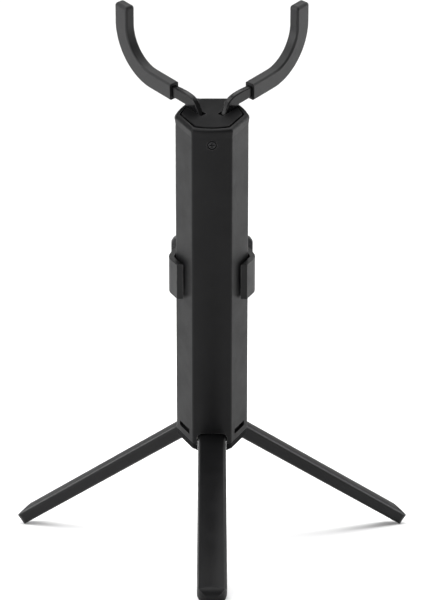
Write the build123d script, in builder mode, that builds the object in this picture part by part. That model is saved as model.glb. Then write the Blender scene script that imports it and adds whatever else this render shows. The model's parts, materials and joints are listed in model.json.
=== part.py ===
"""Folding saxophone stand: a leaning hexagonal column on three legs, with a two-armed yoke."""
from build123d import *
import os
from math import asin, atan, cos, degrees, radians, sin, sqrt, tan

# ---- stance -------------------------------------------------------------
lean = 25.5                 # column tips back over the rear leg, degrees
column_y = 30.65            # column foot, forward of the middle of the footprint

# ---- column section: wide convex faces at 0 and +-120, flat ones between -
wide_apothem = 21.55
narrow_apothem = 22.75
wide_bulge = 1.9
corner_round = 2.4
inner_round = 1.4
wall = 2.6
wall_cut = 8.0              # depth of a cut from outside that goes right through the wall

# ---- column heights, measured along the column from the shell's lower end
column_length = 261.0
rim_height = 7.0
rim_flare = 0.8
rim_round = 2.2
seam_chamfer = 0.6          # along the seam between the shell and the base
head_bottom = 236.0
head_top = 258.2
screw_height = 249.2
fit_gap = 0.25

# ---- legs ---------------------------------------------------------------
leg_length = 205.0          # pin to tip
leg_root_width = 20.0
leg_tip_width = 20.9
leg_root_thick = 10.4
leg_tip_thick = 9.4
leg_crown = 0.7
leg_edge_round = 2.6
leg_tip_round = 8.5
leg_nose_above = 6.6        # rounding of the tip's upper edge
leg_nose_below = 2.5        # and of its lower edge
leg_skin = 0.02             # the shape that rounds the tip stands off the leg's faces by this
leg_root_ease = 0.1
leg_rear_angle = -0.7       # below square to the column, degrees
rear_foot_drop = 0.06       # the tip's rounding reaches this much below its middle plane's
side_foot_drop = 2.1        # a side leg lies twisted, so it stands on a corner of its tip
foot_flat = 0.5             # flat ground on each tip where it meets the floor
leg_azimuths = {"rear": 0, "right": 120, "left": -120}
hinge_radius = 12.0
hinge_height = 3.0
hinge_pin_radius = 1.5
hinge_pin_length = 27.0
pin_clearance = 0.05
side_play = 0.2             # between a leg and each side of its slot
washer_thick = 0.12
washer_radius = 3.9

# ---- base ---------------------------------------------------------------
arch_width = 21.9
arch_height = 9.8
arch_round = 5.0
window_length = 14.0
window_height = 4.4
window_corner = 0.7
window_middle = 7.6
flange_thick = 4.4
lug_drop = 8.0
lug_inset = 3.8
lug_corner = 4.4
plug_height = 17.0
tab_length = 4.4
tab_height = 1.5
tab_corner = 0.5
tab_proud = 1.3
slot_clearance = 0.45
leg_slot_reach = 40.0       # each leg's slot is cut this far out and down, past the hub

# ---- yoke ---------------------------------------------------------------
arm_azimuth = 140           # each arm's own plane, from the rear leg's side
arm_x = 7.8                 # where that plane cuts the column's middle plane
arm_thick = 4.2
arm_height = 8.0
arm_middle = 5.8            # centre of the straight bar above the cap
arm_bend_start = 51.0
arm_bend_radius = 32.0
arm_tip = 52.5
arm_pin_out = 8.0
arm_pin_down = 5.0
arm_pin_radius = 1.6
arm_pin_length = 11.5
arm_slot_width = 5.0
arm_slot_front = -3.4
arm_slot_length = 30.0      # runs out past the edge of the cap
arm_slot_top = 2.0
arm_slot_depth = 12.0
arm_root_half = 3.6         # half the width of the root that the pin goes through
arm_root_below = 2.4        # root below the pin's middle
arm_root_round = 2.0
arm_edge_round = 0.9
arm_throat = -0.4           # height where the root's outer edge starts out towards the bar
arm_throat_run = 3.5
arm_heel = (-0.8, -1.0)     # where the upper edge dips into the slot
arm_shoulder = ((30.0, 9.8), (13.0, 10.6), (5.2, 8.4), (1.6, 3.6))
arm_washer_thick = 0.32
arm_washer_rim = 1.3        # washer beyond its pin
sleeve_start = 29.0
sleeve_width = 7.8
sleeve_height = 12.8
sleeve_end_wall = 3.0
sleeve_edge_round = 1.6
sleeve_tip_round = 2.4
cap_thick = 3.4
cap_gap = 1.3               # open groove between the cap and the shell's wall
cap_edge_round = 0.5

# ---- cap screws -----------------------------------------------------------
screw_head_radius = 2.75
screw_head_height = 1.5
screw_recess_radius = 3.5
screw_recess_depth = 1.7
screw_shank_radius = 1.3
screw_shank_length = 8.0
screw_cross_length = 3.9
screw_cross_width = 1.0
screw_cross_depth = 1.2

# ---- rest on the column ---------------------------------------------------
clip_gap = 1.0
clip_wall = 4.0
clip_corner = 9.0
clip_bottom = 117.0
clip_height = 28.8
clip_edge_round = 0.5
clip_end = 20.3             # inner corner of each clip end, from the middle
clip_mouth = 45.0           # depth and half width of the cut that opens the clip
clip_pad_width = 9.0
clip_pad_margin = 4.0       # pad to each end of the clip
clip_pad_corner = 2.0
clip_pad_thick = 1.05
clip_pad_sunk = 0.4
plate_width = 58.2
plate_bottom = 110.0
plate_top = 143.6
plate_thick = 2.4
plate_corner = 5.0
plate_edge_round = 0.8
rest_pad_thick = 4.2
rest_pad_hollow = 1.4
rest_screw_spacing = 22.0
rest_screw_radius = 1.3
rest_screw_sink = 1.5       # depth of the countersunk heads, and their rim beyond the shank
rest_screw_end = 0.6        # screw ends short of the clip's inner face by this
rest_pad_inset = 0.8
rest_pad_round = 1.2

# ---- worked out -----------------------------------------------------------
SIN60 = sin(radians(60))
tip_reach = leg_length - leg_nose_below
column_z = (
    tip_reach * sin(radians(lean + leg_rear_angle))
    + (leg_tip_thick / 2 - leg_nose_below) * cos(radians(lean + leg_rear_angle))
    + leg_nose_below
    + rear_foot_drop
    - foot_flat
    + hinge_radius * sin(radians(lean))
    - hinge_height * cos(radians(lean))
)
side_pin_z = column_z + hinge_radius / 2 * sin(radians(lean)) + hinge_height * cos(radians(lean))
side_reach = tip_reach * sqrt(cos(radians(lean)) ** 2 + sin(radians(lean)) ** 2 / 4)
side_tip_low = leg_tip_thick / 2 + side_foot_drop - foot_flat
side_drop = asin((side_pin_z - side_tip_low) / side_reach)
leg_side_angle = degrees(side_drop + atan(tan(radians(lean)) / 2))
leg_angles = {"rear": leg_rear_angle, "right": leg_side_angle, "left": leg_side_angle}
slot_half = leg_root_width / 2 + side_play
wide_face = wide_apothem + wide_bulge
pad_seat = wide_face + clip_gap + clip_pad_sunk

column = Plane(
    origin=(0, column_y, column_z),
    x_dir=(1, 0, 0),
    z_dir=(0, -sin(radians(lean)), cos(radians(lean))),
)
column_axis = Axis(column.origin, column.z_dir)


def spot(x, y, z):
    """A point given in the column's own axes."""
    return column.from_local_coords(Vector(x, y, z))


def heading(x, y, z):
    """A direction given in the column's own axes."""
    return spot(x, y, z) - column.origin


def swing_plane(azimuth, offset=0.0, height=0.0):
    """Plane that a leg or arm swings in: x outward, y up the column."""
    outward = (sin(radians(azimuth)), -cos(radians(azimuth)), 0)
    across = (-cos(radians(azimuth)), -sin(radians(azimuth)), 0)
    return Plane(origin=spot(offset, 0, height), x_dir=heading(*outward), z_dir=heading(*across))


def face_plane(azimuth, radius, height):
    """Plane lying against a column face: x across it, y up the column, z outward."""
    outward = (sin(radians(azimuth)), -cos(radians(azimuth)), 0)
    across = (cos(radians(azimuth)), sin(radians(azimuth)), 0)
    origin = spot(outward[0] * radius, outward[1] * radius, height)
    return Plane(origin=origin, x_dir=heading(*across), z_dir=heading(*outward))


def column_outline(inset=0.0, rounding=corner_round):
    """Add the column's section to the open sketch, moved inward by inset."""
    wide = wide_apothem - inset
    narrow = narrow_apothem - inset
    half_wide = (narrow - wide / 2) / SIN60
    ends = []
    for azimuth in (0, 120, 240):
        out = Vector(sin(radians(azimuth)), -cos(radians(azimuth)))
        across = Vector(cos(radians(azimuth)), sin(radians(azimuth)))
        first = out * wide - across * half_wide
        crown = out * (wide + wide_bulge)
        last = out * wide + across * half_wide
        ends.append((first, crown, last))
    with BuildLine() as outline:
        for index in range(3):
            first, crown, last = ends[index]
            ThreePointArc(first, crown, last)
            Line(last, ends[(index + 1) % 3][0])
    make_face(outline.edges())
    fillet(vertices(), rounding)


# ---- shell ----------------------------------------------------------------
with BuildPart() as body_shell:
    with BuildSketch(column):
        column_outline()
    extrude(amount=column_length - rim_height)
    chamfer(body_shell.faces().sort_by(column_axis)[0].edges(), seam_chamfer)
    for height, inset in ((0, 0), (rim_height, -rim_flare)):
        with BuildSketch(column.offset(column_length - rim_height + height)):
            column_outline(inset)
    loft(ruled=True)
    fillet(body_shell.faces().sort_by(column_axis)[-1].edges(), rim_round)
    with BuildSketch(column):
        column_outline(wall, inner_round)
    extrude(amount=column_length, mode=Mode.SUBTRACT)
    for azimuth in leg_azimuths.values():
        with BuildSketch(face_plane(azimuth, wide_face + 1, 0)):
            with Locations((0, arch_height / 2 - arch_round)):
                RectangleRounded(arch_width, arch_height + 2 * arch_round, arch_round)
        extrude(amount=-wall_cut, mode=Mode.SUBTRACT)
        with BuildSketch(face_plane(azimuth, wide_face, screw_height)):
            Circle(screw_recess_radius)
        extrude(amount=-screw_recess_depth, mode=Mode.SUBTRACT)
        with BuildSketch(face_plane(azimuth, wide_face, screw_height)):
            Circle(screw_shank_radius + pin_clearance)
        extrude(amount=-wall_cut, mode=Mode.SUBTRACT)
    for azimuth in (60, 180, 300):
        with BuildSketch(face_plane(azimuth, narrow_apothem + 1, window_middle)):
            RectangleRounded(window_length, window_height, window_corner)
        extrude(amount=-wall_cut, mode=Mode.SUBTRACT)
body_shell.part.label = "body_shell"


# ---- base hub ---------------------------------------------------------------
def leg_slot_profile(angle):
    """Add to the open sketch the space that a leg's root needs between its stop and straight down."""
    stop = radians(angle)
    along = Vector(cos(stop), -sin(stop))
    above = Vector(sin(stop), cos(stop))
    pin = Vector(hinge_radius, hinge_height)
    lift = leg_root_thick / 2 + slot_clearance
    inner = hinge_radius - lift
    with Locations(pin):
        Circle(lift)
    with BuildLine() as space:
        Polyline(
            pin + above * lift,
            pin + above * lift + along * leg_slot_reach,
            Vector(pin.X + leg_slot_reach, -leg_slot_reach),
            Vector(inner, -leg_slot_reach),
            Vector(inner, hinge_height),
            pin,
            pin + above * lift,
        )
    make_face(space.edges())


with BuildPart() as base_hub:
    with BuildSketch(column.offset(-flange_thick)):
        column_outline(fit_gap)
    extrude(amount=flange_thick)
    chamfer(base_hub.faces().sort_by(column_axis)[-1].edges(), seam_chamfer)
    with BuildSketch(column.offset(-lug_drop)):
        column_outline(lug_inset, lug_corner)
    extrude(amount=lug_drop)
    with BuildSketch(column):
        column_outline(wall + fit_gap, inner_round)
    extrude(amount=plug_height)
    for name, azimuth in leg_azimuths.items():
        with BuildSketch(swing_plane(azimuth)):
            leg_slot_profile(leg_angles[name])
        extrude(amount=slot_half, both=True, mode=Mode.SUBTRACT)
    for azimuth in (60, 180, 300):
        with BuildSketch(face_plane(azimuth, narrow_apothem - wall - fit_gap, window_middle)):
            RectangleRounded(tab_length, tab_height, tab_corner)
        extrude(amount=tab_proud)
    for azimuth in leg_azimuths.values():
        with BuildSketch(swing_plane(azimuth)):
            with Locations((hinge_radius, hinge_height)):
                Circle(hinge_pin_radius)
        extrude(amount=hinge_pin_length / 2, both=True, mode=Mode.SUBTRACT)
base_hub.part.label = "base_hub"

with BuildPart() as leg_pins:
    for azimuth in leg_azimuths.values():
        with BuildSketch(swing_plane(azimuth)):
            with Locations((hinge_radius, hinge_height)):
                Circle(hinge_pin_radius)
        extrude(amount=hinge_pin_length / 2, both=True)
leg_pins.part.label = "leg_pins"

with BuildPart() as leg_washers:
    for azimuth in leg_azimuths.values():
        for side in (-1, 1):
            start = side * (leg_root_width / 2 + (side_play - washer_thick) / 2)
            with BuildSketch(swing_plane(azimuth).offset(start)):
                with Locations((hinge_radius, hinge_height)):
                    Circle(washer_radius)
                    Circle(hinge_pin_radius + pin_clearance, mode=Mode.SUBTRACT)
            extrude(amount=side * washer_thick)
leg_washers.part.label = "leg_washers"


# ---- legs -------------------------------------------------------------------
def leg_section(width, thick):
    """Add a leg's section to the open sketch: crowned above, flat below, rounded edges."""
    with BuildLine() as outline:
        ThreePointArc((-width / 2, thick / 2 - leg_crown), (0, thick / 2), (width / 2, thick / 2 - leg_crown))
        Polyline(
            (width / 2, thick / 2 - leg_crown),
            (width / 2, -thick / 2),
            (-width / 2, -thick / 2),
            (-width / 2, thick / 2 - leg_crown),
        )
    make_face(outline.edges())
    fillet(vertices(), leg_edge_round)


def make_leg(name):
    """One leg at its open position, with its pin hole."""
    azimuth = leg_azimuths[name]
    drop = radians(leg_angles[name])
    swing = swing_plane(azimuth)
    pin = swing.from_local_coords(Vector(hinge_radius, hinge_height, 0))
    along = swing.from_local_coords(Vector(cos(drop), -sin(drop), 0)) - swing.origin
    side = Plane(origin=pin, x_dir=along, z_dir=swing.z_dir)
    section = Plane(origin=pin, x_dir=-side.z_dir, z_dir=along)
    plan = Plane(origin=pin, x_dir=along, z_dir=side.y_dir)
    with BuildPart() as leg:
        with BuildSketch(section):
            leg_section(leg_root_width, leg_root_thick)
        with BuildSketch(section.offset(leg_length)):
            leg_section(leg_tip_width, leg_tip_thick)
        loft()
        with BuildSketch(side):
            with BuildLine():
                Polyline(
                    (0, leg_root_thick),
                    (leg_length / 2, leg_tip_thick / 2 + leg_root_thick),
                    (leg_length - leg_tip_thick, leg_tip_thick / 2 + leg_skin),
                    (leg_length, leg_tip_thick / 2),
                    (leg_length, -leg_tip_thick / 2),
                    (leg_length - leg_tip_thick, -leg_tip_thick / 2 - leg_skin),
                    (leg_length / 2, -leg_tip_thick / 2 - leg_root_thick),
                    (0, -leg_root_thick),
                    close=True,
                )
            make_face()
            fillet(vertices().group_by(Axis.X)[-1].sort_by(Axis.Y)[-1], leg_nose_above)
            fillet(vertices().group_by(Axis.X)[-1].sort_by(Axis.Y)[0], leg_nose_below)
        extrude(amount=leg_tip_width, both=True, mode=Mode.INTERSECT)
        with BuildSketch(plan):
            with Locations((leg_length / 2, 0)):
                Rectangle(leg_length, leg_tip_width)
            fillet(vertices().group_by(Axis.X)[-1], leg_tip_round)
        extrude(amount=leg_root_thick, both=True, mode=Mode.INTERSECT)
        with BuildSketch(side):
            Circle(leg_root_thick / 2 - leg_root_ease)
        extrude(amount=leg_root_width / 2, both=True)
        with BuildSketch(side):
            Circle(hinge_pin_radius + pin_clearance)
        extrude(amount=leg_root_width, both=True, mode=Mode.SUBTRACT)
        split(bisect_by=Plane.XY, keep=Keep.TOP)
    leg.part.label = "leg_" + name
    return leg.part


# ---- yoke head, cap and screws --------------------------------------------
def arm_plane(side):
    """Plane of one yoke arm: x outward from the column's middle, y above the cap."""
    return swing_plane(side * arm_azimuth, side * arm_x, column_length)


with BuildPart() as yoke_head:
    with BuildSketch(column.offset(head_bottom)):
        column_outline(wall + fit_gap, inner_round)
    extrude(amount=head_top - head_bottom)
    for side in (-1, 1):
        with BuildSketch(arm_plane(side)):
            with Locations((arm_slot_front, arm_slot_top)):
                Rectangle(arm_slot_length, arm_slot_depth, align=(Align.MIN, Align.MAX))
        extrude(amount=arm_slot_width / 2, both=True, mode=Mode.SUBTRACT)
        with BuildSketch(arm_plane(side)):
            with Locations((arm_pin_out, -arm_pin_down)):
                Circle(arm_pin_radius)
        extrude(amount=arm_pin_length / 2, both=True, mode=Mode.SUBTRACT)
    for azimuth in leg_azimuths.values():
        with BuildSketch(face_plane(azimuth, wide_face, screw_height)):
            Circle(screw_shank_radius)
        extrude(amount=-(screw_recess_depth + screw_shank_length), mode=Mode.SUBTRACT)
yoke_head.part.label = "yoke_head"

with BuildPart() as top_cap:
    with BuildSketch(column.offset(head_top)):
        column_outline(wall + cap_gap, inner_round)
    extrude(amount=cap_thick)
    fillet(top_cap.faces().sort_by(column_axis)[-1].edges(), cap_edge_round)
    for side in (-1, 1):
        with BuildSketch(arm_plane(side)):
            with Locations((arm_slot_front, arm_slot_top)):
                Rectangle(arm_slot_length, arm_slot_depth, align=(Align.MIN, Align.MAX))
        extrude(amount=arm_slot_width / 2, both=True, mode=Mode.SUBTRACT)
top_cap.part.label = "top_cap"

with BuildPart() as cap_screws:
    for azimuth in leg_azimuths.values():
        seat = face_plane(azimuth, wide_face - screw_recess_depth, screw_height)
        with BuildSketch(seat):
            Circle(screw_head_radius)
        extrude(amount=screw_head_height, taper=8)
        with BuildSketch(seat):
            Circle(screw_shank_radius)
        extrude(amount=-screw_shank_length)
        with BuildSketch(seat.offset(screw_head_height)):
            Rectangle(screw_cross_length, screw_cross_width)
            Rectangle(screw_cross_width, screw_cross_length)
        extrude(amount=-screw_cross_depth, taper=15, mode=Mode.SUBTRACT)
cap_screws.part.label = "cap_screws"


# ---- yoke arms ----------------------------------------------------------------
def arm_path(start, end):
    """Draw the arm's middle line in the open line context, from start out to a tip at end."""
    corner = arm_bend_start + arm_bend_radius
    straight = Line((start, arm_middle), (arm_bend_start, arm_middle))
    bend = TangentArc(straight @ 1, (corner, arm_middle + arm_bend_radius), tangent=straight % 1)
    Line(bend @ 1, (corner, end))


def make_arm(side, name):
    """Flat steel arm cut from plate: a root in the cap's slot, then a bar that turns up."""
    corner = arm_bend_start + arm_bend_radius
    inner = arm_bend_radius - arm_height / 2
    outer = arm_bend_radius + arm_height / 2
    centre = Vector(arm_bend_start, arm_middle + arm_bend_radius)
    tip = arm_tip - sleeve_end_wall
    top = arm_middle + arm_height / 2
    bottom = arm_middle - arm_height / 2
    root_out = arm_pin_out + arm_root_half
    root_in = arm_pin_out - arm_root_half
    root_end = -arm_pin_down - arm_root_below
    with BuildPart() as arm:
        with BuildSketch(arm_plane(side)):
            with BuildLine():
                Polyline(
                    (root_out, root_end),
                    (root_out, arm_throat),
                    (root_out + arm_throat_run, bottom),
                    (arm_bend_start, bottom),
                )
                RadiusArc((arm_bend_start, bottom), (centre.X + outer, centre.Y), -outer)
                Polyline(
                    (centre.X + outer, centre.Y),
                    (centre.X + outer, tip),
                    (centre.X + inner, tip),
                    (centre.X + inner, centre.Y),
                )
                RadiusArc((centre.X + inner, centre.Y), (arm_bend_start, top), inner)
                Spline(
                    (arm_bend_start, top),
                    *arm_shoulder,
                    arm_heel,
                    tangents=((-1, 0), (-0.5, -0.87)),
                )
                Polyline(arm_heel, (root_in, root_end), (root_out, root_end))
            make_face()
            fillet(vertices().sort_by(Axis.Y)[0:2], arm_root_round)
        extrude(amount=arm_thick / 2, both=True)
        across = Axis(arm_plane(side).origin, arm_plane(side).z_dir)
        for flat in (arm.faces().sort_by(across)[0], arm.faces().sort_by(across)[-1]):
            fillet(flat.edges(), arm_edge_round)
        with BuildSketch(arm_plane(side)):
            with Locations((arm_pin_out, -arm_pin_down)):
                Circle(arm_pin_radius + pin_clearance)
        extrude(amount=arm_thick, both=True, mode=Mode.SUBTRACT)
    arm.part.label = name
    return arm.part


def make_sleeve(side, name):
    """Rubber sleeve pushed over the arm, square cut at its foot and rounded at its tip."""
    plane = arm_plane(side)
    foot = Plane(
        origin=plane.from_local_coords(Vector(sleeve_start, arm_middle, 0)),
        x_dir=plane.z_dir,
        z_dir=plane.x_dir,
    )
    with BuildPart() as sleeve:
        with BuildLine(plane) as route:
            arm_path(sleeve_start, arm_tip)
        with BuildSketch(foot):
            RectangleRounded(sleeve_width, sleeve_height, sleeve_edge_round)
        sweep(path=route.line)
        tips = sleeve.faces().sort_by(Axis(plane.origin, plane.y_dir))[-1]
        fillet(tips.edges(), sleeve_tip_round)
        with BuildLine(plane) as core:
            arm_path(sleeve_start, arm_tip - sleeve_end_wall)
        with BuildSketch(foot):
            Rectangle(arm_thick, arm_height)
        sweep(path=core.line, mode=Mode.SUBTRACT)
    sleeve.part.label = name
    return sleeve.part


def make_arm_pin(side, name):
    """Pivot pin of one arm, square to the arm's plane."""
    with BuildPart() as pin:
        with BuildSketch(arm_plane(side)):
            with Locations((arm_pin_out, -arm_pin_down)):
                Circle(arm_pin_radius)
        extrude(amount=arm_pin_length / 2, both=True)
    pin.part.label = name
    return pin.part


with BuildPart() as yoke_washers:
    for side in (-1, 1):
        for face in (-1, 1):
            start = face * (arm_thick / 2 + (arm_slot_width - arm_thick - 2 * arm_washer_thick) / 4)
            with BuildSketch(arm_plane(side).offset(start)):
                with Locations((arm_pin_out, -arm_pin_down)):
                    Circle(arm_pin_radius + arm_washer_rim)
                    Circle(arm_pin_radius + pin_clearance, mode=Mode.SUBTRACT)
            extrude(amount=face * arm_washer_thick)
yoke_washers.part.label = "yoke_washers"


# ---- rest clip, plate and pad -----------------------------------------------
with BuildPart() as rest_clip:
    with BuildSketch(column.offset(clip_bottom)):
        column_outline(-(clip_gap + clip_wall), clip_corner)
        with BuildSketch(mode=Mode.PRIVATE) as bore:
            column_outline(-clip_gap, corner_round)
        add(bore.sketch, mode=Mode.SUBTRACT)
        corner = Vector(clip_end, -2 * (narrow_apothem + clip_gap - clip_end * SIN60))
        with Locations((0, corner.Y)):
            Rectangle(2 * clip_mouth, clip_mouth, align=(Align.CENTER, Align.MAX), mode=Mode.SUBTRACT)
    extrude(amount=clip_height)
    for end in (rest_clip.faces().sort_by(column_axis)[0], rest_clip.faces().sort_by(column_axis)[-1]):
        fillet(end.edges(), clip_edge_round)
    for x in (-rest_screw_spacing / 2, rest_screw_spacing / 2):
        with BuildSketch(face_plane(180, narrow_apothem + clip_gap, clip_bottom + clip_height / 2)):
            with Locations((x, 0)):
                Circle(rest_screw_radius)
        extrude(amount=clip_wall, mode=Mode.SUBTRACT)
    for azimuth in (120, 240):
        with BuildSketch(face_plane(azimuth, pad_seat, clip_bottom + clip_height / 2)):
            RectangleRounded(clip_pad_width, clip_height - 2 * clip_pad_margin, clip_pad_corner)
        extrude(amount=-2 * clip_pad_thick, mode=Mode.SUBTRACT)
rest_clip.part.label = "rest_clip"

with BuildPart() as clip_pads:
    for azimuth in (120, 240):
        with BuildSketch(face_plane(azimuth, pad_seat, clip_bottom + clip_height / 2)):
            RectangleRounded(clip_pad_width, clip_height - 2 * clip_pad_margin, clip_pad_corner)
        extrude(amount=-clip_pad_thick)
clip_pads.part.label = "clip_pads"

plate_front = narrow_apothem + clip_gap + clip_wall
plate_middle = (plate_bottom + plate_top) / 2
plate_height = plate_top - plate_bottom
screw_offset = clip_bottom + clip_height / 2 - plate_middle

with BuildPart() as rest_plate:
    with BuildSketch(face_plane(180, plate_front, plate_middle)):
        RectangleRounded(plate_width, plate_height, plate_corner)
    extrude(amount=plate_thick)
    fillet(rest_plate.edges().group_by(Axis(column.origin, column.y_dir))[0], plate_edge_round)
    for x in (-rest_screw_spacing / 2, rest_screw_spacing / 2):
        with BuildSketch(face_plane(180, plate_front, plate_middle)):
            with Locations((x, screw_offset)):
                Circle(rest_screw_radius)
        extrude(amount=plate_thick, mode=Mode.SUBTRACT)
        with BuildSketch(face_plane(180, plate_front + plate_thick, plate_middle)):
            with Locations((x, screw_offset)):
                Circle(rest_screw_radius + rest_screw_sink)
        extrude(amount=-rest_screw_sink, taper=45, mode=Mode.SUBTRACT)
rest_plate.part.label = "rest_plate"

with BuildPart() as rest_pad:
    with BuildSketch(face_plane(180, plate_front + plate_thick, plate_middle)):
        RectangleRounded(
            plate_width - 2 * rest_pad_inset,
            plate_height - 2 * rest_pad_inset,
            plate_corner - rest_pad_inset,
        )
    extrude(amount=rest_pad_thick)
    fillet(rest_pad.faces().sort_by(Axis(column.origin, column.y_dir))[-1].edges(), rest_pad_round)
    hollow_radius = (plate_width / 2) ** 2 / (2 * rest_pad_hollow)
    with BuildSketch(column.offset(plate_bottom)):
        with Locations((0, plate_front + plate_thick + rest_pad_thick - rest_pad_hollow + hollow_radius)):
            Circle(hollow_radius)
    extrude(amount=plate_height, mode=Mode.SUBTRACT)
rest_pad.part.label = "rest_pad"

with BuildPart() as rest_screws:
    for x in (-rest_screw_spacing / 2, rest_screw_spacing / 2):
        head = face_plane(180, plate_front + plate_thick, plate_middle)
        with BuildSketch(head):
            with Locations((x, screw_offset)):
                Circle(rest_screw_radius)
        extrude(amount=-(plate_thick + clip_wall - rest_screw_end))
        with BuildSketch(head):
            with Locations((x, screw_offset)):
                Circle(rest_screw_radius + rest_screw_sink)
        extrude(amount=-rest_screw_sink, taper=45)
rest_screws.part.label = "rest_screws"

# ---- write the pieces -----------------------------------------------------
pieces = [body_shell.part, base_hub.part, leg_pins.part, leg_washers.part]
pieces += [make_leg(name) for name in leg_azimuths]
pieces += [yoke_head.part, top_cap.part, cap_screws.part, yoke_washers.part]
for side, name in ((-1, "left"), (1, "right")):
    pieces.append(make_arm(side, "yoke_arm_" + name))
    pieces.append(make_sleeve(side, "yoke_sleeve_" + name))
    pieces.append(make_arm_pin(side, "yoke_pin_" + name))
pieces += [rest_clip.part, clip_pads.part, rest_plate.part, rest_pad.part, rest_screws.part]

os.makedirs("parts", exist_ok=True)
for piece in pieces:
    export_step(piece, "parts/" + piece.label + ".step")

for piece in pieces:
    if piece.label.startswith("leg_"):
        print(piece.label, "lowest point", round(piece.bounding_box().min.Z, 3))
everything = Compound(children=pieces)
box = everything.bounding_box()
print("whole object", box.min, box.max)
print("side legs open", leg_side_angle, "column foot height", column_z)
for name, azimuth in leg_azimuths.items():
    swing = swing_plane(azimuth)
    pin = swing.from_local_coords(Vector(hinge_radius, hinge_height, 0))
    print("leg hinge", name, pin, "folds about", -swing.z_dir, "by", 90 - leg_angles[name])
for side, name in ((-1, "left"), (1, "right")):
    swing = arm_plane(side)
    pin = swing.from_local_coords(Vector(arm_pin_out, -arm_pin_down, 0))
    print("arm hinge", name, pin, "lifts about", swing.z_dir)
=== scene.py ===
"""Studio picture of the folding saxophone stand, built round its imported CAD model."""
import json
from math import cos, pi, radians, sin

import bmesh
import bpy
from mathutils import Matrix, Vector


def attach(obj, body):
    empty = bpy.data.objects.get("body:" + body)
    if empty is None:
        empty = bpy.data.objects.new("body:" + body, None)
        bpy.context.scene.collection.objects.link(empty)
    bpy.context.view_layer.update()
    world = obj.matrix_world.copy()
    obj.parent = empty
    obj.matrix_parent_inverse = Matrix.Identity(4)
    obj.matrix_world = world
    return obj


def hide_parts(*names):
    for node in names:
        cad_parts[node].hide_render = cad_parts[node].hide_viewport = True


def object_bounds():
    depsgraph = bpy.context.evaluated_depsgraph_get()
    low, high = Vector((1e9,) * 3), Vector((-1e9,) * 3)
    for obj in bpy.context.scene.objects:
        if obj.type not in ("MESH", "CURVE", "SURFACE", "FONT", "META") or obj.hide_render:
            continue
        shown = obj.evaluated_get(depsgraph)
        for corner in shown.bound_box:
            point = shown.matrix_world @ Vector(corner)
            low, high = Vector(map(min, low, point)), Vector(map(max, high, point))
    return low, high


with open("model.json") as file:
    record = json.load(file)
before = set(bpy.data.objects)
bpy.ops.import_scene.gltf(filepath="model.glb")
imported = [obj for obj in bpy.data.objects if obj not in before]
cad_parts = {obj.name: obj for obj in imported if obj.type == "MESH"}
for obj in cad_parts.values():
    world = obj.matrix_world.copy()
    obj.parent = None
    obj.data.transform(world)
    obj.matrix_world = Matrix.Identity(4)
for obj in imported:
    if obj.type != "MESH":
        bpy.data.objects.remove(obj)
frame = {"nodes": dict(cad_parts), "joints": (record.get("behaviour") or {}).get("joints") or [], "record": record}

cad_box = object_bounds()
low, high = cad_box
joints = {joint["name"]: joint for joint in frame["joints"]}
up_column = Vector(joints["rest_slide"]["axis"]).normalized()
across = Vector((1.0, 0.0, 0.0))
out_back = up_column.cross(across).normalized()

# ---- view: the camera looks along +Y, a little down ------------------------
CAMERA_ELEVATION = 6.635    # degrees
CAMERA_DISTANCE = 3.185     # metres
LENS = 264.7                # millimetres, on the long side of a 36 mm sensor
AIM_DEPTH = 0.59297         # share of the whole box from its -Y side
AIM_HEIGHT = 0.45580        # share of the whole height

# ---- studio -----------------------------------------------------------------
FLOOR_SIZE = 60.0
FLOOR_DARK = (0.85, 0.85, 0.85)
FLOOR_LIGHT = (0.88, 0.88, 0.88)
SKY_COLOUR = (1.0, 1.0, 1.0, 1.0)
SKY_STRENGTH = 0.33
# name, place seen from the object's middle, width, height, watts
LIGHTS = (
    ("top_box", (0.3, 0.9, 2.2), 1.6, 1.0, 8.0),
    ("left_box", (-1.7, -0.5, 0.8), 1.0, 1.8, 15.0),
    ("left_front_box", (-1.3, -0.8, 0.0), 0.5, 0.5, 14.0),
    ("right_back_box", (1.7, 0.9, 0.6), 0.6, 1.8, 27.0),
    ("left_back_box", (-1.5, 1.6, 0.5), 0.8, 1.0, 12.0),
)
# name, direction it comes from, angular width in degrees, strength
SUNS = (
    ("key", (-0.55, -0.45, 1.5), 50.0, 2.3),
    ("fill", (0.7, 0.5, 1.6), 60.0, 1.1),
)


# ---- material building ---------------------------------------------------------
def start_material(name, colour, roughness, metallic=0.0, specular=0.5):
    """A new material, its shader and a function that adds nodes to it."""
    material = bpy.data.materials.new(name)
    material.use_nodes = True
    nodes = material.node_tree.nodes
    links = material.node_tree.links
    shader = nodes["Principled BSDF"]
    shader.inputs["Base Color"].default_value = (*colour, 1.0)
    shader.inputs["Roughness"].default_value = roughness
    shader.inputs["Metallic"].default_value = metallic
    shader.inputs["Specular IOR Level"].default_value = specular
    place = nodes.new("ShaderNodeTexCoord").outputs["Object"]
    return material, nodes, links, shader, place


def noise(nodes, links, place, scale, detail=3.0, roughness=0.55, stretch=None):
    """Noise of one scale, per metre, optionally stretched along an axis."""
    texture = nodes.new("ShaderNodeTexNoise")
    texture.inputs["Scale"].default_value = scale
    texture.inputs["Detail"].default_value = detail
    texture.inputs["Roughness"].default_value = roughness
    if stretch:
        mapping = nodes.new("ShaderNodeMapping")
        mapping.inputs["Scale"].default_value = stretch
        links.new(place, mapping.inputs["Vector"])
        place = mapping.outputs["Vector"]
    links.new(place, texture.inputs["Vector"])
    return texture.outputs["Fac"]


def between(nodes, links, value, low_value, high_value, start=0.3, end=0.7):
    """Map a value from start..end to low_value..high_value."""
    ramp = nodes.new("ShaderNodeMapRange")
    ramp.inputs["From Min"].default_value = start
    ramp.inputs["From Max"].default_value = end
    ramp.inputs["To Min"].default_value = low_value
    ramp.inputs["To Max"].default_value = high_value
    links.new(value, ramp.inputs["Value"])
    return ramp.outputs["Result"]


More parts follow.
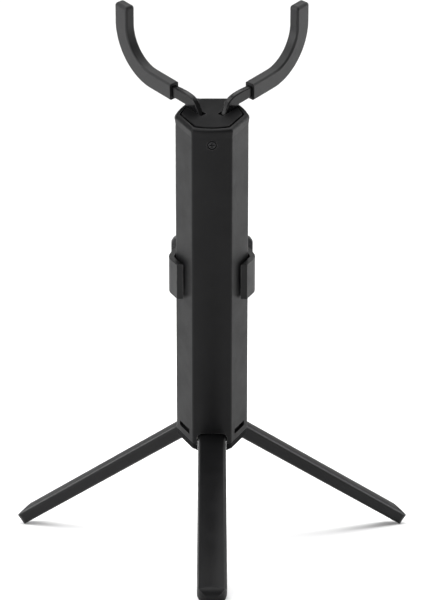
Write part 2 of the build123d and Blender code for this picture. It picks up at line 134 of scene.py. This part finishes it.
def mix(nodes, links, amount, first, second):
    """Mix two colours by amount; each is a colour or a socket."""
    node = nodes.new("ShaderNodeMix")
    node.data_type = "RGBA"
    links.new(amount, node.inputs["Factor"])
    for socket, value in ((node.inputs[6], first), (node.inputs[7], second)):
        if isinstance(value, tuple):
            socket.default_value = (*value, 1.0)
        else:
            links.new(value, socket)
    return node.outputs[2]


def bump(nodes, links, shader, heights):
    """Chain bumps, each (height socket, depth in metres, strength), into the shader."""
    normal = None
    for height, depth, strength in heights:
        node = nodes.new("ShaderNodeBump")
        node.inputs["Distance"].default_value = depth
        node.inputs["Strength"].default_value = strength
        links.new(height, node.inputs["Height"])
        if normal:
            links.new(normal, node.inputs["Normal"])
        normal = node.outputs["Normal"]
    links.new(normal, shader.inputs["Normal"])


def edge_wear_and_highlight(nodes, links, place, radius):
    """1 on sharp outside edges, broken up by noise, 0 elsewhere; it lightens edges, partly as wear and partly as a
    painted highlight.
    """
    bevel = nodes.new("ShaderNodeBevel")
    bevel.samples = 4
    bevel.inputs["Radius"].default_value = radius
    geometry = nodes.new("ShaderNodeNewGeometry")
    dot = nodes.new("ShaderNodeVectorMath")
    dot.operation = "DOT_PRODUCT"
    links.new(bevel.outputs["Normal"], dot.inputs[0])
    links.new(geometry.outputs["Normal"], dot.inputs[1])
    edge = between(nodes, links, dot.outputs["Value"], 1.0, 0.0, 0.86, 0.99)
    patchy = between(nodes, links, noise(nodes, links, place, 160.0, 4.0), 0.2, 1.0, 0.35, 0.6)
    product = nodes.new("ShaderNodeMath")
    product.operation = "MULTIPLY"
    links.new(edge, product.inputs[0])
    links.new(patchy, product.inputs[1])
    return product.outputs["Value"]


def moulded_plastic(name, dark, light, roughness, specular, grain=2400.0, grain_depth=0.00004, edge=0.5):
    """Satin moulded plastic: fine grain, faint flow marks, and lighter edges that are partly wear and partly a
    painted highlight.
    """
    material, nodes, links, shader, place = start_material(name, dark, roughness, 0.0, specular)
    flow = noise(nodes, links, place, 22.0, 5.0, 0.6)
    colour = mix(nodes, links, between(nodes, links, flow, 0.0, 1.0), dark, light)
    if edge:
        # lighter edges: partly wear, partly a painted highlight
        wear_and_highlight = edge_wear_and_highlight(nodes, links, place, 0.0007)
        pale = tuple(edge * 0.10 + (1 - edge) * c for c in light)
        colour = mix(nodes, links, wear_and_highlight, colour, pale)
    links.new(colour, shader.inputs["Base Color"])
    patch = noise(nodes, links, place, 70.0, 4.0, 0.6)
    gloss = between(nodes, links, patch, roughness - 0.05, roughness + 0.06)
    links.new(gloss, shader.inputs["Roughness"])
    fine = noise(nodes, links, place, grain, 3.0, 0.65)
    sink = noise(nodes, links, place, 38.0, 2.0, 0.5)
    bump(nodes, links, shader, ((sink, 0.0004, 0.10), (fine, grain_depth, 0.55)))
    return material


def painted_steel(name, dark, light, roughness):
    """Black stoved paint on steel: a faint orange peel under a gloss coat."""
    material, nodes, links, shader, place = start_material(name, dark, roughness, 0.0, 0.11)
    shader.inputs["Coat Weight"].default_value = 0.1
    shader.inputs["Coat Roughness"].default_value = 0.12
    tone = noise(nodes, links, place, 60.0, 4.0)
    # lighter edges: partly wear, partly a painted highlight
    wear_and_highlight = edge_wear_and_highlight(nodes, links, place, 0.0005)
    colour = mix(nodes, links, between(nodes, links, tone, 0.0, 1.0), dark, light)
    links.new(mix(nodes, links, wear_and_highlight, colour, (0.06, 0.06, 0.062)), shader.inputs["Base Color"])
    links.new(between(nodes, links, tone, roughness - 0.04, roughness + 0.05), shader.inputs["Roughness"])
    peel = noise(nodes, links, place, 750.0, 2.0, 0.5)
    bump(nodes, links, shader, ((peel, 0.00008, 0.25),))
    return material


def rubber(name, dark, light, roughness, grain=1500.0):
    """Soft matt rubber with a dusty bloom and a fine pebbled skin."""
    material, nodes, links, shader, place = start_material(name, dark, roughness, 0.0, 0.24)
    shader.inputs["Sheen Weight"].default_value = 0.05
    shader.inputs["Sheen Roughness"].default_value = 0.5
    bloom = noise(nodes, links, place, 90.0, 6.0, 0.65)
    colour = mix(nodes, links, between(nodes, links, bloom, 0.0, 1.0, 0.35, 0.7), dark, light)
    links.new(colour, shader.inputs["Base Color"])
    links.new(between(nodes, links, bloom, roughness - 0.04, roughness + 0.08), shader.inputs["Roughness"])
    pebble = nodes.new("ShaderNodeTexVoronoi")
    pebble.inputs["Scale"].default_value = grain
    links.new(place, pebble.inputs["Vector"])
    fine = noise(nodes, links, place, grain * 2.2, 2.0)
    bump(nodes, links, shader, ((pebble.outputs["Distance"], 0.00007, 0.35), (fine, 0.00003, 0.4)))
    return material


def coarse_grain(name, dark, light, roughness):
    """Hard plastic with a coarse etched grain."""
    material, nodes, links, shader, place = start_material(name, dark, roughness, 0.0, 0.4)
    cells = nodes.new("ShaderNodeTexVoronoi")
    cells.feature = "SMOOTH_F1"
    cells.inputs["Scale"].default_value = 620.0
    links.new(place, cells.inputs["Vector"])
    pits = cells.outputs["Distance"]
    colour = mix(nodes, links, between(nodes, links, pits, 0.0, 1.0, 0.1, 0.7), light, dark)
    links.new(colour, shader.inputs["Base Color"])
    gloss = between(nodes, links, pits, roughness - 0.08, roughness + 0.1, 0.1, 0.8)
    links.new(gloss, shader.inputs["Roughness"])
    fine = noise(nodes, links, place, 2600.0, 3.0)
    bump(nodes, links, shader, ((pits, 0.00025, 0.5), (fine, 0.00004, 0.4)))
    return material


def foam_rubber(name, dark, light):
    """Closed-cell foam: many small pits and a soft, dusty tone."""
    material, nodes, links, shader, place = start_material(name, dark, 0.8, 0.0, 0.25)
    shader.inputs["Sheen Weight"].default_value = 0.15
    shader.inputs["Sheen Roughness"].default_value = 0.6
    cells = nodes.new("ShaderNodeTexVoronoi")
    cells.inputs["Scale"].default_value = 1300.0
    links.new(place, cells.inputs["Vector"])
    pits = cells.outputs["Distance"]
    mottle = noise(nodes, links, place, 120.0, 5.0, 0.65)
    colour = mix(nodes, links, between(nodes, links, mottle, 0.0, 1.0), dark, light)
    links.new(colour, shader.inputs["Base Color"])
    links.new(between(nodes, links, mottle, 0.74, 0.9), shader.inputs["Roughness"])
    bump(nodes, links, shader, ((mottle, 0.0003, 0.3), (pits, 0.00018, 0.6)))
    return material


def felt(name, dark, light):
    """Pressed felt: matted fibres with a soft sheen."""
    material, nodes, links, shader, place = start_material(name, dark, 0.95, 0.0, 0.15)
    shader.inputs["Sheen Weight"].default_value = 0.5
    shader.inputs["Sheen Roughness"].default_value = 0.7
    fibres = noise(nodes, links, place, 1100.0, 6.0, 0.75, (1.0, 0.35, 1.6))
    clumps = noise(nodes, links, place, 260.0, 4.0, 0.6)
    colour = mix(nodes, links, between(nodes, links, fibres, 0.0, 1.0), dark, light)
    links.new(colour, shader.inputs["Base Color"])
    bump(nodes, links, shader, ((clumps, 0.0003, 0.4), (fibres, 0.0002, 0.6)))
    return material


def bright_steel(name, colour, roughness):
    """Ground steel with fine circular marks broken up along its length."""
    material, nodes, links, shader, place = start_material(name, colour, roughness, 1.0)
    marks = noise(nodes, links, place, 900.0, 4.0, 0.6, (4.0, 0.4, 4.0))
    dark = tuple(c * 0.72 for c in colour)
    tone = mix(nodes, links, between(nodes, links, marks, 0.0, 1.0), dark, colour)
    links.new(tone, shader.inputs["Base Color"])
    links.new(between(nodes, links, marks, roughness - 0.06, roughness + 0.1), shader.inputs["Roughness"])
    bump(nodes, links, shader, ((marks, 0.00003, 0.4),))
    return material


def black_oxide(name):
    """Blackened screw steel, slightly uneven, with lighter edges that are partly rubbed and partly a painted
    highlight.
    """
    material, nodes, links, shader, place = start_material(name, (0.014, 0.014, 0.015), 0.42, 0.2, 0.16)
    tone = noise(nodes, links, place, 500.0, 4.0)
    # lighter edges: partly rubbed, partly a painted highlight
    wear_and_highlight = edge_wear_and_highlight(nodes, links, place, 0.0003)
    amount = between(nodes, links, tone, 0.0, 1.0)
    colour = mix(nodes, links, amount, (0.010, 0.010, 0.011), (0.020, 0.020, 0.021))
    links.new(mix(nodes, links, wear_and_highlight, colour, (0.05, 0.05, 0.052)), shader.inputs["Base Color"])
    links.new(between(nodes, links, tone, 0.36, 0.5), shader.inputs["Roughness"])
    bump(nodes, links, shader, ((tone, 0.00004, 0.4),))
    return material


def nylon(name):
    """Waxy off-white nylon."""
    material, nodes, links, shader, place = start_material(name, (0.72, 0.7, 0.64), 0.42)
    tone = noise(nodes, links, place, 400.0, 3.0)
    colour = mix(nodes, links, between(nodes, links, tone, 0.0, 1.0), (0.66, 0.64, 0.58), (0.78, 0.76, 0.7))
    links.new(colour, shader.inputs["Base Color"])
    links.new(between(nodes, links, tone, 0.36, 0.5), shader.inputs["Roughness"])
    bump(nodes, links, shader, ((tone, 0.00003, 0.3),))
    return material


def floor_material():
    """Pale matt studio floor with the faintest mottle."""
    material, nodes, links, shader, place = start_material("studio_floor", FLOOR_DARK, 0.9, 0.0, 0.1)
    tone = noise(nodes, links, place, 3.0, 3.0)
    colour = mix(nodes, links, between(nodes, links, tone, 0.0, 1.0), FLOOR_DARK, FLOOR_LIGHT)
    links.new(colour, shader.inputs["Base Color"])
    return material


shell_black = moulded_plastic("shell_black", (0.0035, 0.0035, 0.0038), (0.0060, 0.0060, 0.0063), 0.40, 0.105)
base_black = moulded_plastic("base_black", (0.0030, 0.0030, 0.0033), (0.0055, 0.0055, 0.0058), 0.62, 0.04)
head_black = moulded_plastic("head_black", (0.0030, 0.0030, 0.0033), (0.0052, 0.0052, 0.0055),
                             0.50, 0.065, 1800.0)
leg_black = moulded_plastic("leg_black", (0.0035, 0.0035, 0.0038), (0.0062, 0.0062, 0.0065),
                            0.36, 0.12, 2000.0)
clip_black = moulded_plastic("clip_black", (0.0045, 0.0045, 0.0048), (0.0080, 0.0080, 0.0083), 0.38, 0.17)
plate_grain = coarse_grain("plate_grain", (0.016, 0.016, 0.017), (0.038, 0.038, 0.040), 0.6)
rest_foam = foam_rubber("rest_foam", (0.014, 0.014, 0.014), (0.024, 0.024, 0.024))
slide_felt = felt("slide_felt", (0.010, 0.010, 0.011), (0.035, 0.035, 0.037))
arm_paint = painted_steel("arm_paint", (0.0030, 0.0030, 0.0033), (0.0050, 0.0050, 0.0053), 0.22)
sleeve_black = rubber("sleeve_black", (0.0050, 0.0050, 0.0054), (0.0095, 0.0095, 0.0100), 0.46)
pin_steel = bright_steel("pin_steel", (0.56, 0.57, 0.58), 0.3)
screw_black = black_oxide("screw_black")
washer_nylon = nylon("washer_nylon")

SLOT_MATERIALS = {
    "shell_plastic": shell_black,
    "base_plastic": base_black,
    "head_plastic": head_black,
    "leg_plastic": leg_black,
    "clip_plastic": clip_black,
    "plate_plastic": plate_grain,
    "rest_rubber": rest_foam,
    "slide_pad": slide_felt,
    "arm_steel": arm_paint,
    "sleeve_rubber": sleeve_black,
    "pin_steel": pin_steel,
    "screw_steel": screw_black,
    "washer_nylon": washer_nylon,
}
node_slots = {part["node"]: part["material_slot"] for part in frame["record"]["subparts"]}
for node, cad_object in frame["nodes"].items():
    for material_slot in cad_object.material_slots:
        material_slot.material = SLOT_MATERIALS[node_slots[node]]


# ---- soft pads, which stand for plain CAD solids ----------------------------------
CORNER_STEPS = 6            # straight pieces in each rounded corner and lip
BACK_EDGE = 0.35            # the back's small rounding, as a share of the lip
PAD_STEPS = (0.14, 0.22, 0.26, 0.30, 0.42, 0.58, 0.76, 0.94)    # shares of the way in from the lip
PAD_GROOVE_AT = 0.26
PAD_GROOVE_DEPTH = 0.10     # share of the pad's thickness
SMALLEST_CORNER = 0.0002


def separate_solids(node):
    """The points of each separate solid of a CAD node, in the order of its mesh."""
    mesh = bmesh.new()
    mesh.from_mesh(frame["nodes"][node].data)
    bmesh.ops.remove_doubles(mesh, verts=mesh.verts, dist=1e-6)
    found = set()
    islands = []
    for first in mesh.verts:
        if first in found:
            continue
        found.add(first)
        members = [first]
        for member in members:
            for edge in member.link_edges:
                vertex = edge.other_vert(member)
                if vertex not in found:
                    found.add(vertex)
                    members.append(vertex)
        islands.append([vertex.co.copy() for vertex in members])
    mesh.free()
    return islands


def reach(points, axis):
    """Lowest and highest reach of points along an axis."""
    along = [point.dot(axis) for point in points]
    return min(along), max(along)


def rounded_outline(half_width, half_height, corner, steps):
    """Points round a rounded rectangle, anticlockwise, starting at the lower right corner."""
    points = []
    for turn, (sign_x, sign_y) in enumerate(((1, -1), (1, 1), (-1, 1), (-1, -1))):
        middle = ((half_width - corner) * sign_x, (half_height - corner) * sign_y)
        for step in range(steps + 1):
            angle = radians(-90 + 90 * (turn + step / steps))
            points.append((middle[0] + corner * cos(angle), middle[1] + corner * sin(angle)))
    return points


def pad_mesh(name, origin, x_axis, y_axis, z_axis, size, corner, lip, hollow):
    """A closed pad: rounded rectangle outline, soft lip, and a front that dips across its width."""
    width, height, thick = size
    rings = []
    profile = [(BACK_EDGE * lip, 0.0), (0.0, BACK_EDGE * lip), (0.0, thick - lip)]
    for step in range(1, CORNER_STEPS + 1):
        angle = pi / 2 * step / CORNER_STEPS
        profile.append((lip * (1 - cos(angle)), thick - lip + lip * sin(angle)))
    inner = min(width, height) / 2
    for share in PAD_STEPS:
        groove = PAD_GROOVE_DEPTH * thick if share == PAD_GROOVE_AT else 0.0
        profile.append((lip + (inner - lip) * share, thick - groove))
    for inset, level in profile:
        rounding = max(corner - inset, SMALLEST_CORNER)
        outline = rounded_outline(width / 2 - inset, height / 2 - inset, rounding, CORNER_STEPS)
        ring = []
        for x, y in outline:
            dip = hollow * (1 - (2 * x / width) ** 2) if level > thick / 2 else 0.0
            ring.append((x, y, level - dip))
        rings.append(ring)
    mesh = bmesh.new()
    loops = []
    for ring in rings:
        loops.append([mesh.verts.new(origin + x_axis * x + y_axis * y + z_axis * z) for x, y, z in ring])
    count = len(loops[0])
    for lower, upper in zip(loops, loops[1:]):
        for index in range(count):
            after = (index + 1) % count
            mesh.faces.new((lower[index], lower[after], upper[after], upper[index]))
    mesh.faces.new(list(reversed(loops[0])))
    mesh.faces.new(loops[-1])
    bmesh.ops.recalc_face_normals(mesh, faces=mesh.faces)
    data = bpy.data.meshes.new(name)
    mesh.to_mesh(data)
    mesh.free()
    for polygon in data.polygons:
        polygon.use_smooth = True
    pad = bpy.data.objects.new(name, data)
    bpy.context.scene.collection.objects.link(pad)
    return pad


def soft_pad(name, points, z_axis, body, node, material, corner, lip, hollow):
    """A pad that fills the space of a plain CAD solid, facing along z_axis."""
    x_axis = up_column.cross(z_axis).normalized()
    spans = [reach(points, axis) for axis in (x_axis, up_column, z_axis)]
    size = [end - start for start, end in spans]
    middle = x_axis * sum(spans[0]) / 2 + up_column * sum(spans[1]) / 2 + z_axis * spans[2][0]
    pad = pad_mesh(name, middle, x_axis, up_column, z_axis, size, corner, lip, hollow)
    pad.data.materials.append(material)
    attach(pad, body)
    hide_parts(node)
    return pad


rest_points = separate_solids("rest_pad")[0]
soft_pad("rest_pad_foam", rest_points, out_back, "rest", "rest_pad", rest_foam,
         corner=0.0045, lip=0.0012, hollow=0.0014)
right_first = sorted(separate_solids("clip_pads"), key=lambda points: points[0].x, reverse=True)
for points in right_first:
    centre = sum(points, Vector()) / len(points)
    side, turn = ("right", 1) if centre.x > 0 else ("left", -1)
    face = across * turn * sin(radians(120)) - out_back * cos(radians(120))
    soft_pad("clip_felt_" + side, points, -face, "rest", "clip_pads", slide_felt,
             corner=0.002, lip=0.0003, hollow=0.0)


# ---- studio ---------------------------------------------------------------------
def make_floor():
    """A wide pale floor under the stand."""
    bpy.ops.mesh.primitive_plane_add(size=FLOOR_SIZE, location=(0, 0, low.z))
    floor = bpy.context.object
    floor.name = "studio_floor"
    floor.data.materials.append(floor_material())


def make_lights():
    """An even sky and the softboxes, all turned to the object's middle."""
    world = bpy.data.worlds.new("studio")
    world.use_nodes = True
    background = world.node_tree.nodes["Background"]
    background.inputs["Color"].default_value = SKY_COLOUR
    background.inputs["Strength"].default_value = SKY_STRENGTH
    bpy.context.scene.world = world
    middle = (low + high) / 2
    for name, place, width, height, watts in LIGHTS:
        light = bpy.data.lights.new(name, "AREA")
        light.shape = "RECTANGLE"
        light.size = width
        light.size_y = height
        light.energy = watts
        lamp = bpy.data.objects.new(name, light)
        lamp.location = middle + Vector(place)
        lamp.rotation_euler = (-Vector(place)).to_track_quat("-Z", "Y").to_euler()
        bpy.context.scene.collection.objects.link(lamp)


def make_suns():
    """Wide soft suns, which light the floor evenly at any distance."""
    for name, source, width, strength in SUNS:
        light = bpy.data.lights.new(name, "SUN")
        light.energy = strength
        light.angle = radians(width)
        lamp = bpy.data.objects.new(name, light)
        lamp.rotation_euler = (-Vector(source)).to_track_quat("-Z", "Y").to_euler()
        bpy.context.scene.collection.objects.link(lamp)


def make_camera():
    """The camera at the photograph's angle."""
    aim = Vector((
        (low.x + high.x) / 2,
        low.y + AIM_DEPTH * (high.y - low.y),
        low.z + AIM_HEIGHT * (high.z - low.z),
    ))
    elevation = radians(CAMERA_ELEVATION)
    back = Vector((0.0, -cos(elevation), sin(elevation)))
    camera = bpy.data.cameras.new("camera")
    camera.lens = LENS
    camera.sensor_width = 36.0
    camera.clip_end = 200.0
    holder = bpy.data.objects.new("camera", camera)
    holder.location = aim + back * CAMERA_DISTANCE
    holder.rotation_euler = (-back).to_track_quat("-Z", "Y").to_euler()
    bpy.context.scene.collection.objects.link(holder)
    bpy.context.scene.camera = holder


make_floor()
make_lights()
make_suns()
make_camera()
bpy.context.scene.view_settings.view_transform = "Standard"
